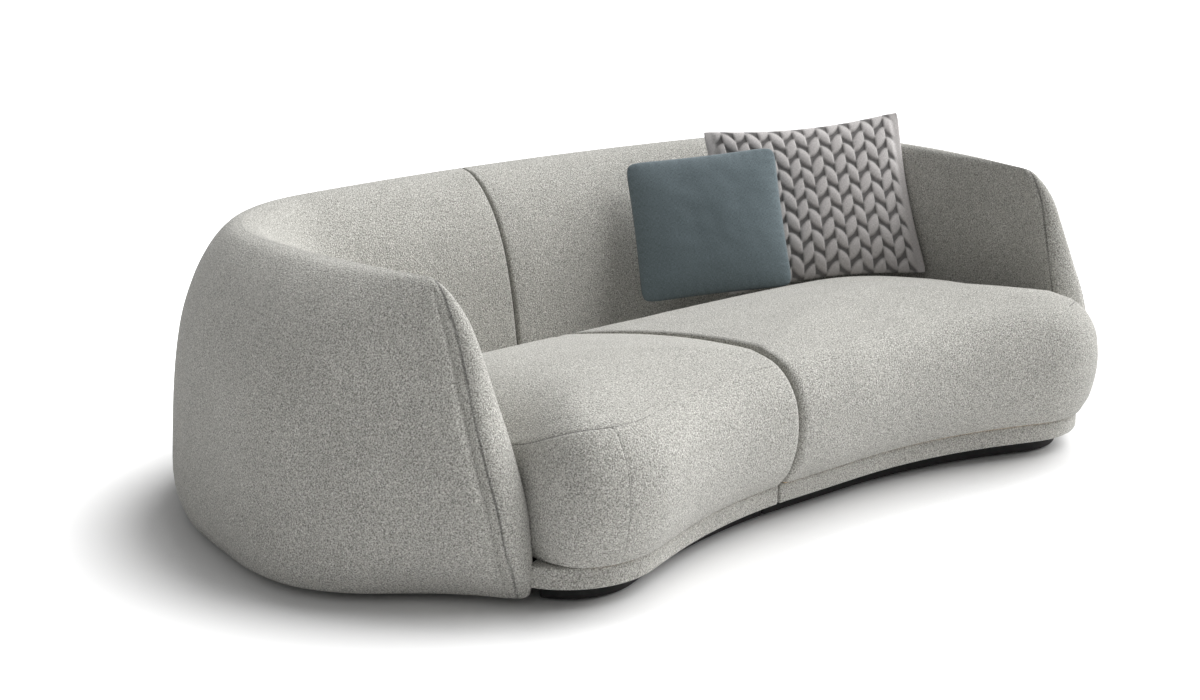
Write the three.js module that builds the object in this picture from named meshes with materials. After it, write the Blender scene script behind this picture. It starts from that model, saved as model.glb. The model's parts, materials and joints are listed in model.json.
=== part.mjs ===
// Curved two-piece sofa: a thick back that wraps round into the arms, two domed seats and two loose cushions.
// Millimetres, +Z up. The front faces -Y, and the shorter piece lies at -X. The origin is under the middle.
import * as THREE from 'three';

// Line of the ridge on top of the back, seen from above: half of it, from the middle to the end of an arm.
const backRadius = 5100;
const backLength = 745;
const shoulderRadius = 455;
const shoulderTurn = THREE.MathUtils.degToRad(82);
const armRadius = 2400;
const armLength = 630;

// Heights above the floor.
const ridgeHeight = 725;
const backBottomHeight = 18;
const undersideHeight = 50;
const bandTopHeight = 104;
const seatRearHeight = 262;
const seatFrontHeight = 438;
const seatCrown = 34;
const seatRearDrop = 72;

// Where the two pieces part, left of the middle, and the slit between them.
const splitOffset = 184;
const splitGap = 8;

// Reach of the back's faces from the ridge line, at the middle, the shoulder, the arm and the arm's front.
const outerReaches = [130, 203, 252, 95];
const innerReaches = [262, 235, 84, 28];
const reachPlaceShares = [0, 0.46, 0.8, 1];
// Height, outer reach, inner reach and lead of the arm's front at each level, as shares.
const levelHeightShares = [0, 0.1, 0.27, 0.47, 0.66, 0.81, 0.92, 0.978, 1];
const levelOuterShares = [1.01, 1.01, 0.98, 0.92, 0.81, 0.63, 0.41, 0.21, 0.07];
const levelInnerShares = [1, 1, 0.97, 0.9, 0.79, 0.63, 0.42, 0.22, 0.06];
const levelLeadShares = [0.8, 0.84, 0.81, 0.66, 0.45, 0.28, 0.14, 0.05, 0];
const toeOuterShares = [0.25, 0.6, 0.95, 1.05, 0.95, 0.9, 1, 1, 1];
const frontLead = 232;
const frontBulge = 16;
const leadStartShare = 0.62;
// Levels that the cover's inner face and the foam keep.
const innerLevels = [0, 1, 2, 4, 6];
const stationCount = 17;

// Upholstery and carcass.
const coverThickness = 6;
const layerClearance = 2;
const edgeClearance = 0.7;
const backFoamThickness = 46;
const armFrontFoam = 170;
const boardThickness = 18;
const ribThickness = 18;
const ribClearance = 12;
const ribPlaceShares = [0.06, 0.27, 0.46, 0.63, 0.8];
const topRailWidth = 26;
const topRailHeight = 28;
const seatingGap = 0.3;

// Front edge of the base, seen from above: hollow in the middle, then a round corner.
const frontDistance = 1316;
const frontStraight = 130;
const hollowRadius = 1450;
const hollowTurn = THREE.MathUtils.degToRad(20);
const frontRun = 95;
const cornerRadius = 225;
const cornerTurn = THREE.MathUtils.degToRad(56);
const bandRun = 82;

// Seat: how far it stands over the base band, and its edges.
const seatOverhang = 46;
const seatTuck = 34;
const seatSideClearance = 9;
const seatSideStartShare = 0.95;
const seatCornerCut = 42;
const seatEdgeRoll = 150;
const seatLiftOffBand = 4;
const slitRollShare = 0.08;
const rearRollShare = 0.29;
const ringHeightShares = [0, 0.15, 0.4, 0.63, 0.82, 0.94, 1];
const ringTuckShares = [1, 0.3, 0, 0, 0, 0, 0];
const ringRollShares = [0, 0, 0, 0.05, 0.24, 0.56, 1];
const crownRingShares = [0.72, 0.4, 0.1];

// Base band, rails and feet.
const bandThickness = 22;
const railThickness = 32;
const rearRailInset = 46;
const crossRailWidth = 40;
const crossRailPlaceShares = [0.12, 0.42, 0.7];
const sheetThickness = 1.5;
const sheetFrontInset = 34;
const sheetSideInset = 60;
const footWidth = 62;
const footDepth = 62;
const footTaper = 5;
const plateThickness = 4;
const plateWidth = 42;
const joinPlateLength = 230;
const joinPlateInset = 125;
const bracketLowerRun = 90;
const bracketUpperRun = 120;
const bracketPlaces = [14, 18];
const bracketPlaceShares = [0.2, 0.74];
const cornerFootReach = 124;
const hiddenFootReach = 190;
const plinthReach = 56;
const plinthThickness = 18;
const plinthBottom = 6;
const stripStations = 18;
const innerStripStations = 16;

// Loose cushions.
const cushionRise = 6;
const blueCushion = { width: 466, height: 446, thickness: 116, turn: -41, lean: 25, roll: 7, x: 392, y: -494, z: 333.8 };
const greyCushion = { width: 610, height: 520, thickness: 112, turn: -34, lean: 28, roll: 5, x: 766, y: -600, z: 333.5 };

const upholstery = new THREE.MeshStandardMaterial({ color: 0xb4b2ab, roughness: 0.95, metalness: 0 });
const blueCloth = new THREE.MeshStandardMaterial({ color: 0x6c8390, roughness: 0.9, metalness: 0 });
const greyCloth = new THREE.MeshStandardMaterial({ color: 0x95908f, roughness: 0.9, metalness: 0 });
const foam = new THREE.MeshStandardMaterial({ color: 0xe9e2c8, roughness: 0.95, metalness: 0 });
const plywood = new THREE.MeshStandardMaterial({ color: 0xc7a77c, roughness: 0.7, metalness: 0 });
const blackBoard = new THREE.MeshStandardMaterial({ color: 0x161617, roughness: 0.8, metalness: 0 });
const blackPlastic = new THREE.MeshStandardMaterial({ color: 0x121213, roughness: 0.5, metalness: 0 });
const steel = new THREE.MeshStandardMaterial({ color: 0x8a8d90, roughness: 0.4, metalness: 0.9 });

const sofa = new THREE.Group();

function lerp(a, b, t) {
  return a + (b - a) * t;
}

function smooth(t) {
  const c = Math.min(Math.max(t, 0), 1);
  return c * c * (3 - 2 * c);
}

// Value of a table at place x, straight between its entries, or eased where easing is true.
function lookUp(places, values, x, easing = false) {
  let i = 0;
  while (i < places.length - 2 && x > places[i + 1]) i++;
  const t = (x - places[i]) / (places[i + 1] - places[i]);
  return lerp(values[i], values[i + 1], easing ? smooth(t) : t);
}

// Walks along arcs in plan. Each arc has a length and a signed radius, positive where it turns to the left.
function walk(arcs, start, distance) {
  let { x, y, heading } = start;
  let left = distance;
  for (const [i, arc] of arcs.entries()) {
    const step = i === arcs.length - 1 ? left : Math.min(left, arc.length);
    const turn = step / arc.radius;
    x += arc.radius * (Math.sin(heading + turn) - Math.sin(heading));
    y -= arc.radius * (Math.cos(heading + turn) - Math.cos(heading));
    heading += turn;
    left -= step;
    if (left <= 0) break;
  }
  return { x, y, heading };
}

const ridgeArcs = [
  { length: backLength, radius: -backRadius },
  { length: shoulderRadius * shoulderTurn, radius: -shoulderRadius },
  { length: armLength, radius: -armRadius },
];
const ridgeLength = backLength + shoulderRadius * shoulderTurn + armLength;

// Point at a distance along the ridge line, shifted outwards by reach. Distances below zero lie past the middle.
function ridgePoint(distance, reach) {
  const mirror = distance < 0 ? -1 : 1;
  const p = walk(ridgeArcs, { x: 0, y: 0, heading: 0 }, Math.abs(distance));
  return [mirror * (p.x - Math.sin(p.heading) * reach), p.y + Math.cos(p.heading) * reach];
}

const straightRadius = 1e3 * backRadius;
const frontArcs = [
  { length: frontStraight, radius: straightRadius },
  { length: hollowRadius * hollowTurn, radius: -hollowRadius },
  { length: frontRun, radius: straightRadius },
  { length: cornerRadius * cornerTurn, radius: cornerRadius },
];
const frontLength = frontArcs.reduce((sum, arc) => sum + arc.length, 0);

// Point at a distance along the base's front edge, shifted forwards by reach.
function frontPoint(distance, reach) {
  const mirror = distance < 0 ? -1 : 1;
  const p = walk(frontArcs, { x: 0, y: -frontDistance, heading: 0 }, Math.abs(distance));
  return [mirror * (p.x + Math.sin(p.heading) * reach), p.y - Math.cos(p.heading) * reach];
}

// One piece of the sofa: side is 1 at +X and -1 at -X. Its plan is drawn for +X and mirrored for -X.
function makePiece(side) {
  const start = -side * splitOffset + splitGap / 2;
  return { side, start, name: side > 0 ? 'right' : 'left' };
}

function place(piece, plan, z) {
  return new THREE.Vector3(piece.side * plan[0], plan[1], z);
}

// Rings run round a piece, all with the same count. Mirrored rings are turned round, so that faces point out.
function ordered(piece, ring) {
  return piece.side > 0 ? ring.slice().reverse() : ring;
}

// Faces between rings. Where rings run downwards, as the first turned ones do, the diagonals lean the other way,
// so that the layers of a cushion stay parallel.
function joinRings(rings, caps, turned = 0) {
  const count = rings[0].length;
  const positions = rings.flat().flatMap((p) => [p.x, p.y, p.z]);
  const index = [];
  for (let j = 0; j < rings.length - 1; j++) {
    for (let i = 0; i < count; i++) {
      const next = (i + 1) % count;
      const a = j * count + i;
      const b = j * count + next;
      const c = (j + 1) * count + next;
      const d = (j + 1) * count + i;
      if (j < turned - 1) index.push(a, b, d, b, c, d);
      else index.push(a, b, c, a, c, d);
    }
  }
  for (const cap of caps) {
    const first = cap.ring * count;
    for (let a = 0; a < count / 2 - 1; a++) {
      const quad = [a, a + 1, count - 2 - a, count - 1 - a].map((v) => v + first);
      if (cap.up) index.push(quad[0], quad[1], quad[2], quad[0], quad[2], quad[3]);
      else index.push(quad[0], quad[2], quad[1], quad[0], quad[3], quad[2]);
    }
  }
  const geometry = new THREE.BufferGeometry();
  geometry.setAttribute('position', new THREE.Float32BufferAttribute(positions, 3));
  geometry.setIndex(index);
  geometry.computeVertexNormals();
  return geometry;
}

// A closed solid through rings that run from its bottom to its top.
function solid(rings) {
  return joinRings(rings, [{ ring: 0, up: false }, { ring: rings.length - 1, up: true }]);
}

// A skin that is open below: the outer rings run from bottom to top, and so do the inner ones.
function skin(outer, inner) {
  const inside = inner.slice().reverse();
  const rings = [...inside, ...outer];
  return joinRings(rings, [{ ring: 0, up: false }, { ring: rings.length - 1, up: true }], inside.length);
}

function add(name, geometry, material) {
  const mesh = new THREE.Mesh(geometry, material);
  mesh.name = name;
  sofa.add(mesh);
  return mesh;
}

function levelHeight(level) {
  return backBottomHeight + levelHeightShares[level] * (ridgeHeight - backBottomHeight);
}

// Faces of the back at a share u of its length and a height z.
function backFaces(u, z) {
  const share = (z - backBottomHeight) / (ridgeHeight - backBottomHeight);
  const toe = smooth((u - reachPlaceShares[2]) / (1 - reachPlaceShares[2]));
  const outerShare = lookUp(levelHeightShares, levelOuterShares, share);
  const toeShare = lookUp(levelHeightShares, toeOuterShares, share);
  const innerShare = lookUp(levelHeightShares, levelInnerShares, share);
  return {
    outer: lookUp(reachPlaceShares, outerReaches, u, true) * lerp(outerShare, outerShare * toeShare, toe),
    inner: -lookUp(reachPlaceShares, innerReaches, u, true) * innerShare,
    lead: frontLead * lookUp(levelHeightShares, levelLeadShares, share),
  };
}

// Distance along the ridge line of a share u of the back, where the front of the arm leads or falls back.
function backDistance(piece, u, lead) {
  return lerp(piece.start, ridgeLength, u) + lead * smooth((u - leadStartShare) / (1 - leadStartShare));
}

// Ring round the back at height z, moved in from its faces by inset. It ends short of the arm's front by endCut.
function backRing(piece, z, inset, endCut = 0, faceHeight = z) {
  const outerSide = [];
  const innerSide = [];
  const last = stationCount - 1;
  const endShare = 1 - endCut / (ridgeLength - piece.start);
  for (let i = 0; i <= last; i++) {
    const u = (i / last) * endShare;
    const faces = backFaces(u, faceHeight);
    const endStep = i === 0 ? inset : i === last ? -inset : 0;
    const distance = backDistance(piece, u, faces.lead) + endStep;
    outerSide.push(place(piece, ridgePoint(distance, faces.outer - inset), z));
    innerSide.push(place(piece, ridgePoint(distance, faces.inner + inset), z));
  }
  // The arm's front swells a little between its two edges.
  const faces = backFaces(endShare, faceHeight);
  const bulge = Math.min(frontBulge, (faces.outer - faces.inner - 2 * inset) / 4) - inset;
  const front = [1 / 4, 3 / 4].map((t) => {
    const reach = lerp(faces.outer - inset, faces.inner + inset, t);
    return place(piece, ridgePoint(backDistance(piece, endShare, faces.lead) + bulge, reach), z);
  });
  return ordered(piece, [...outerSide, ...front, ...innerSide.reverse()]);
}

function makeBack(piece) {
  const levels = [...levelHeightShares.keys()];
  const outside = levels.map((k) => backRing(piece, levelHeight(k), 0));
  const inside = innerLevels.map((k) => backRing(piece, levelHeight(k), coverThickness));
  add(`${piece.name}_back_cover`, skin(outside, inside), upholstery);

  const foamInset = coverThickness + layerClearance;
  const sillBottom = backBottomHeight + seatingGap;
  const sillTop = sillBottom + boardThickness;
  const foamBottom = sillTop + seatingGap;
  const foamTop = levelHeight(innerLevels.at(-1));
  const middleHeights = innerLevels.slice(1, -1).map(levelHeight);
  const foamOutside = middleHeights.map((z) => backRing(piece, z, foamInset));
  foamOutside.unshift(backRing(piece, foamBottom, foamInset + 2 * layerClearance));
  foamOutside.push(backRing(piece, foamTop - layerClearance, foamInset, 0, foamTop));
  const cavityInset = foamInset + backFoamThickness;
  const cavityTop = levelHeight(5);
  const cavityHeights = [foamBottom, levelHeight(2), levelHeight(4), cavityTop];
  const cavity = cavityHeights.map((z) => backRing(piece, z, cavityInset, armFrontFoam));
  add(`${piece.name}_back_foam`, skin(foamOutside, cavity), foam);

  const sillInset = coverThickness + edgeClearance;
  const sill = [sillInset, sillInset + layerClearance].map((inset, j) => {
    return backRing(piece, [sillBottom, sillTop][j], inset, 0, sillBottom);
  });
  add(`${piece.name}_back_sill`, solid(sill), blackBoard);

  // Ribs stand on the sill inside the foam, and the top rail lies on them.
  const ribTop = cavityTop - layerClearance - topRailHeight - seatingGap;
  const ribHeights = [foamBottom, levelHeight(2), levelHeight(4), ribTop];
  for (const [i, share] of ribPlaceShares.entries()) {
    const rings = ribHeights.map((z) => ribRing(piece, share, z, cavityInset + ribClearance));
    add(`${piece.name}_back_rib_${i + 1}`, solid(rings), plywood);
  }
  const railBottom = ribTop + seatingGap;
  const railRings = [railBottom, railBottom + topRailHeight].map((z) => railRing(piece, z));
  add(`${piece.name}_back_top_rail`, solid(railRings), plywood);
}

function ribRing(piece, share, z, inset) {
  const faces = backFaces(share, z);
  const distance = backDistance(piece, share, faces.lead);
  const corners = [
    [distance - ribThickness / 2, faces.outer - inset],
    [distance + ribThickness / 2, faces.outer - inset],
    [distance + ribThickness / 2, faces.inner + inset],
    [distance - ribThickness / 2, faces.inner + inset],
  ];
  return ordered(piece, corners.map(([along, reach]) => place(piece, ridgePoint(along, reach), z)));
}

// The rail bends with the back, in the middle of the space inside the foam, from the first rib to the last.
function railRing(piece, z) {
  const outerSide = [];
  const innerSide = [];
  const last = stationCount - 1;
  const lastRib = ribPlaceShares.at(-1);
  for (let i = 0; i <= last; i++) {
    const u = lerp(ribPlaceShares[0], lastRib, i / last);
    const faces = backFaces(u, levelHeight(5));
    const middle = (faces.outer + faces.inner) / 2;
    const distance = backDistance(piece, u, faces.lead);
    outerSide.push(place(piece, ridgePoint(distance, middle + topRailWidth / 2), z));
    innerSide.push(place(piece, ridgePoint(distance, middle - topRailWidth / 2), z));
  }
  return ordered(piece, [...outerSide, ...innerSide.reverse()]);
}

// Plan of the seat, as points. Beside the back and the arm the top falls away, which drop says.
function seatPlan(piece, frontReach, sideInset, slitInset) {
  const points = [];
  const frontCount = 14;
  const sideCount = 14;
  const slitCount = 4;
  for (let i = 0; i <= frontCount; i++) {
    const distance = lerp(piece.start + slitInset, frontLength - seatCornerCut, i / frontCount);
    points.push({ plan: frontPoint(distance, frontReach), drop: 0 });
  }
  // Where the arm's inner face lies outside the ridge line, its upper part stands nearest to the seat.
  const reachAt = (u) => {
    const reach = lookUp(reachPlaceShares, innerReaches, u, true);
    return Math.max(reach, reach * levelInnerShares[4]) + seatSideClearance + sideInset;
  };
  for (let i = 0; i < sideCount; i++) {
    const u = lerp(seatSideStartShare, 0, i / (sideCount - 1));
    const faces = backFaces(u, levelHeight(2));
    const distance = backDistance(piece, u, faces.lead) + (i === sideCount - 1 ? slitInset : 0);
    points.push({ plan: ridgePoint(distance, -reachAt(u)), drop: 1 });
  }
  const rear = points.at(-1).plan;
  const front = points[0].plan;
  for (let i = 1; i < slitCount; i++) {
    points.push({ plan: [front[0], lerp(rear[1], front[1], i / slitCount)], drop: 0 });
  }
  return points.reverse();
}

function seatMiddle(plan) {
  const sum = plan.reduce((s, p) => [s[0] + p.plan[0], s[1] + p.plan[1]], [0, 0]);
  return [sum[0] / plan.length, sum[1] / plan.length];
}

function seatTopHeight(y) {
  const t = Math.min(Math.max((-y - innerReaches[0]) / (frontDistance - innerReaches[0]), 0), 1);
  return lerp(seatRearHeight, seatFrontHeight, Math.sin((t * Math.PI) / 2));
}

// Rings of a seat from its bottom, over the rolled edge, to the crown. The layer lies inset below the surface.
function seatRings(piece, inset, bottom, picks) {
  const middle = seatMiddle(seatPlan(piece, seatOverhang, 0, 0));
  const rings = ringHeightShares.map((heightShare, j) => {
    const draw = ringTuckShares[j] * seatTuck + ringRollShares[j] * seatEdgeRoll;
    const plan = seatPlan(piece, seatOverhang - inset - draw, inset + draw * rearRollShare, inset + draw * slitRollShare);
    return plan.map((point) => {
      const rim = seatTopHeight(point.plan[1]) - inset * heightShare - seatRearDrop * point.drop;
      return { ...point, z: j === 0 ? bottom : lerp(bandTopHeight + seatLiftOffBand, rim, heightShare) };
    });
  });
  const rim = rings.at(-1);
  for (const share of crownRingShares) {
    rings.push(rim.map(({ plan: point, drop }) => {
      const moved = [lerp(middle[0], point[0], share), lerp(middle[1], point[1], share)];
      const top = seatTopHeight(moved[1]) - seatRearDrop * drop * share ** 4;
      return { plan: moved, z: top - inset + seatCrown * (1 - share * share) };
    }));
  }
  const picked = rings.filter((ring, j) => picks.includes(j) || j >= ringHeightShares.length - 1);
  return picked.map((ring) => ordered(piece, ring.map((p) => place(piece, p.plan, p.z))));
}

// A flat ring at height z, moved in from the seat's lower edge.
function seatOutline(piece, z, inset) {
  const plan = seatPlan(piece, seatOverhang - inset - seatTuck, inset + seatTuck * rearRollShare, inset + seatTuck * slitRollShare);
  return ordered(piece, plan.map((point) => place(piece, point.plan, z)));
}

// A strip that bends with the front edge of the base.
function frontStrip(piece, reach, thickness, low, high, stations = stripStations) {
  return [low, high].map((z) => {
    const near = [];
    const far = [];
    for (let i = 0; i <= stations; i++) {
      const distance = lerp(piece.start, frontLength + bandRun, i / stripStations);
      near.push(place(piece, frontPoint(distance, reach), z));
      far.push(place(piece, frontPoint(distance, reach - thickness), z));
    }
    return ordered(piece, [...far, ...near.reverse()]);
  });
}

function makeSeat(piece) {
  const seatBottom = bandTopHeight + seatLiftOffBand;
  const all = [...ringHeightShares.keys()];
  const few = all.filter((j) => j % 2 === 0);
  const outside = seatRings(piece, 0, seatBottom, all);
  const inside = seatRings(piece, coverThickness, seatBottom, few);
  add(`${piece.name}_seat_cover`, skin(outside, inside), upholstery);

  const boardBottom = bandTopHeight + seatingGap;
  const boardTop = boardBottom + boardThickness;
  const boardInset = coverThickness + edgeClearance;
  add(`${piece.name}_seat_board`, solid([boardBottom, boardTop].map((z) => seatOutline(piece, z, boardInset))), plywood);
  const foamInset = coverThickness + layerClearance;
  const foamRings = seatRings(piece, foamInset, boardTop + seatingGap, few);
  add(`${piece.name}_seat_foam`, solid(foamRings), foam);
}

function box(width, depth, height) {
  return new THREE.BoxGeometry(width, depth, height);
}

function makeBase(piece) {
  const sheetBottom = undersideHeight + seatingGap;
  const railBottom = sheetBottom + sheetThickness + seatingGap;
  const railTop = bandTopHeight;
  const band = frontStrip(piece, 0, bandThickness, undersideHeight, bandTopHeight);
  add(`${piece.name}_base_band`, solid(band), upholstery);
  const plinthTop = undersideHeight - seatingGap;
  const plinth = frontStrip(piece, -plinthReach, plinthThickness, plinthBottom, plinthTop, innerStripStations);
  add(`${piece.name}_front_plinth`, solid(plinth), blackBoard);
  const railReach = -bandThickness - seatingGap;
  const frontRail = frontStrip(piece, railReach, railThickness, railBottom, railTop, innerStripStations);
  add(`${piece.name}_front_rail`, solid(frontRail), plywood);

  // The rear rail follows the back from the slit to the start of the shoulder's turn.
  const rearRailReach = innerReaches[0] + seatSideClearance + rearRailInset;
  const rearEnd = backLength + shoulderRadius * shoulderTurn / 4;
  const count = 8;
  const rearRail = [railBottom, railTop].map((z) => {
    const near = [];
    const far = [];
    for (let i = 0; i <= count; i++) {
      const distance = lerp(piece.start, rearEnd, i / count);
      far.push(place(piece, ridgePoint(distance, -rearRailReach), z));
      near.push(place(piece, ridgePoint(distance, -rearRailReach - railThickness), z));
    }
    return ordered(piece, [...far, ...near.reverse()]);
  });
  add(`${piece.name}_rear_rail`, solid(rearRail), plywood);

  // Cross rails run from the rear rail to the front rail.
  for (const [i, share] of crossRailPlaceShares.entries()) {
    const x = crossRailPlace(piece, share);
    const back = planHeightAt((d) => ridgePoint(d, -rearRailReach - railThickness), x, crossRailWidth, Math.min);
    const front = planHeightAt((d) => frontPoint(d, railReach - railThickness), x, crossRailWidth, Math.max);
    const length = back - front - 2 * layerClearance;
    const rail = add(`${piece.name}_cross_rail_${i + 1}`, box(crossRailWidth, length, railTop - railBottom), plywood);
    rail.position.set(piece.side * x, (back + front) / 2, (railTop + railBottom) / 2);
  }

  const sheetPlan = seatPlan(piece, -sheetFrontInset, sheetSideInset, sheetSideInset);
  const sheet = [sheetBottom, sheetBottom + sheetThickness].map((z) => {
    return ordered(piece, sheetPlan.map((point) => place(piece, point.plan, z)));
  });
  add(`${piece.name}_dust_cover`, solid(sheet), blackBoard);
  makeFeet(piece);
  makeBrackets(piece);
}

function crossRailPlace(piece, share) {
  const end = frontPoint(frontLength - cornerRadius, -bandThickness)[0];
  return lerp(piece.start + crossRailWidth, end, share);
}

// The y of a line in plan over a stretch of x: the least or greatest of its ends and its middle.
function planHeightAt(line, x, width, pick) {
  const values = [x - width / 2, x, x + width / 2].map((target) => {
    let low = -backLength;
    let high = backLength + shoulderRadius;
    for (let i = 0; i < 40; i++) {
      const middle = (low + high) / 2;
      if (line(middle)[0] < target) low = middle;
      else high = middle;
    }
    return line(low)[1];
  });
  return pick(...values);
}

// Four black feet: one under a cross rail, one under the front corner, one under the rear of the sill and one under
// the arm.
function makeFeet(piece) {
  const inFromSlit = (footWidth + joinPlateLength + plateWidth) / 2;
  const armU = reachPlaceShares[2];
  const armFaces = backFaces(armU, backBottomHeight);
  const armDistance = backDistance(piece, armU, armFaces.lead);
  const hiddenX = crossRailPlace(piece, crossRailPlaceShares[0]);
  const hiddenY = planHeightAt((d) => frontPoint(d, -hiddenFootReach), hiddenX, footWidth, Math.max);
  const places = {
    front_middle: [[hiddenX, hiddenY], undersideHeight],
    front_corner: [frontPoint(frontLength - (cornerRadius * cornerTurn) / 2, -cornerFootReach), undersideHeight],
    rear_middle: [ridgePoint(piece.start + inFromSlit, 0), backBottomHeight],
    rear_arm: [ridgePoint(armDistance, (armFaces.outer + armFaces.inner) / 2), backBottomHeight],
  };
  for (const [name, [plan, top]] of Object.entries(places)) {
    const height = top - seatingGap;
    const geometry = box(footWidth, footDepth, height);
    const position = geometry.attributes.position;
    for (let i = 0; i < position.count; i++) {
      if (position.getZ(i) > 0) continue;
      position.setX(i, position.getX(i) - Math.sign(position.getX(i)) * footTaper);
      position.setY(i, position.getY(i) - Math.sign(position.getY(i)) * footTaper);
    }
    geometry.computeVertexNormals();
    const foot = add(`${piece.name}_foot_${name}`, geometry, blackPlastic);
    foot.position.set(piece.side * plan[0], plan[1], height / 2);
  }
}

// A loose cushion: a crowned pad, its sides drawn in between its corners.
function cushionGeometry({ width, height, thickness }) {
  const steps = 14;
  const drawShare = 0.035;
  const rows = [];
  for (const face of [1, -1]) {
    for (let j = 0; j <= steps; j++) {
      for (let i = 0; i <= steps; i++) {
        const a = (2 * i) / steps - 1;
        const b = (2 * j) / steps - 1;
        const fullness = Math.sqrt((1 - a ** 4) * (1 - b ** 4)) * (1 - 0.25 * (a * a + b * b));
        const x = (width / 2) * a * (1 - drawShare * (1 - b * b));
        const z = (height / 2) * b * (1 - drawShare * (1 - a * a));
        rows.push([x, face * (thickness / 2) * Math.max(fullness, 0), z]);
      }
    }
  }
  const wide = steps + 1;
  const isEdge = (i, j) => i === 0 || j === 0 || i === steps || j === steps;
  const vertex = (face, i, j) => (isEdge(i, j) ? j * wide + i : face * wide * wide + j * wide + i);
  const index = [];
  for (let j = 0; j < steps; j++) {
    for (let i = 0; i < steps; i++) {
      for (const face of [0, 1]) {
        const quad = [vertex(face, i, j), vertex(face, i + 1, j), vertex(face, i + 1, j + 1), vertex(face, i, j + 1)];
        const turned = face === 0 ? [quad[0], quad[3], quad[2], quad[1]] : quad;
        index.push(turned[0], turned[1], turned[2], turned[0], turned[2], turned[3]);
      }
    }
  }
  const geometry = new THREE.BufferGeometry();
  geometry.setAttribute('position', new THREE.Float32BufferAttribute(rows.flat(), 3));
  geometry.setIndex(index);
  geometry.computeVertexNormals();
  return geometry;
}

function makeCushion(name, spec, material) {
  const mesh = add(name, cushionGeometry(spec), material);
  mesh.rotation.order = 'ZXY';
  mesh.rotation.set(
    THREE.MathUtils.degToRad(-spec.lean),
    THREE.MathUtils.degToRad(-spec.roll),
    THREE.MathUtils.degToRad(spec.turn),
  );
  const up = new THREE.Vector3(0, 0, spec.height / 2).applyEuler(mesh.rotation);
  mesh.position.set(spec.x, spec.y, spec.z + cushionRise).add(up);
}

// Bent steel brackets hold the base of the seat to the back: one flange lies under each of them.
function makeBrackets(piece) {
  const low = backBottomHeight - seatingGap;
  const high = undersideHeight - seatingGap;
  const [near, far] = bracketPlaces;
  const profile = new THREE.Shape([
    [-bracketLowerRun, low - plateThickness],
    [far, low - plateThickness],
    [far, high - plateThickness],
    [bracketUpperRun, high - plateThickness],
    [bracketUpperRun, high],
    [near, high],
    [near, low],
    [-bracketLowerRun, low],
  ].map(([run, z]) => new THREE.Vector2(run, z)));
  for (const [i, share] of bracketPlaceShares.entries()) {
    const faces = backFaces(share, backBottomHeight);
    const distance = backDistance(piece, share, faces.lead);
    const ridge = ridgePoint(distance, 0);
    const face = ridgePoint(distance, faces.inner);
    const geometry = new THREE.ExtrudeGeometry(profile, { depth: plateWidth, bevelEnabled: false });
    geometry.translate(0, 0, -plateWidth / 2);
    const [forward, up] = [new THREE.Vector3(0, -1, 0), new THREE.Vector3(0, 0, 1)];
    geometry.applyMatrix4(new THREE.Matrix4().makeBasis(forward, up, forward.clone().cross(up)));
    const bracket = add(`${piece.name}_bracket_${i === 0 ? 'rear' : 'side'}`, geometry, steel);
    bracket.position.set(piece.side * face[0], face[1], 0);
    bracket.rotation.z = piece.side * Math.atan2(face[0] - ridge[0], ridge[1] - face[1]);
  }
}

// Flat steel plates hold the two pieces together at the slit.
function makeJoinPlates() {
  const frontPlace = frontPoint(splitOffset, -joinPlateInset);
  const rearPlace = ridgePoint(splitOffset, -innerReaches[0] / 2);
  for (const [name, plan, top] of [['front', frontPlace, undersideHeight], ['rear', rearPlace, backBottomHeight]]) {
    const plate = add(`join_plate_${name}`, box(joinPlateLength, plateWidth, plateThickness), steel);
    plate.position.set(-splitOffset, plan[1], top - seatingGap - plateThickness / 2);
  }
}

for (const side of [-1, 1]) {
  const piece = makePiece(side);
  makeBack(piece);
  makeSeat(piece);
  makeBase(piece);
}
makeJoinPlates();
makeCushion('blue_cushion', blueCushion, blueCloth);
makeCushion('grey_cushion', greyCushion, greyCloth);

// The origin comes under the middle of the whole.
sofa.updateMatrixWorld(true);
const bounds = new THREE.Box3().setFromObject(sofa);
const middle = bounds.getCenter(new THREE.Vector3());
for (const mesh of sofa.children) {
  mesh.position.x -= middle.x;
  mesh.position.y -= middle.y;
  mesh.position.z -= bounds.min.z;
}

export default sofa;
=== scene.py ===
import json
import math

import bmesh
import bpy
from mathutils import Matrix, Vector, noise


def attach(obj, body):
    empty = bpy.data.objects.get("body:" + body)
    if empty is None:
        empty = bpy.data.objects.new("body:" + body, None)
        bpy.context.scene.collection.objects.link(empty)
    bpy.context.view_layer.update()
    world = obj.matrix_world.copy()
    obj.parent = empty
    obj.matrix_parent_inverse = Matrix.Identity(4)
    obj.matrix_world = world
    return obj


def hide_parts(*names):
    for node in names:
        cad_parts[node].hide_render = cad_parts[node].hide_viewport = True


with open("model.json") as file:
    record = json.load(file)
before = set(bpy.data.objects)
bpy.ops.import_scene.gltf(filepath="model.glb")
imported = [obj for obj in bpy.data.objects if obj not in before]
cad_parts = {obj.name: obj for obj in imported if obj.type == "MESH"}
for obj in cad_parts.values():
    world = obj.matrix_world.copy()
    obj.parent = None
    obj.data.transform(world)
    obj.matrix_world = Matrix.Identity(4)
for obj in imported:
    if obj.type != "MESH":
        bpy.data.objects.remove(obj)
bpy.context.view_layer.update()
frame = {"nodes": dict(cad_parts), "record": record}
print("stage: frame loaded")

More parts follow.
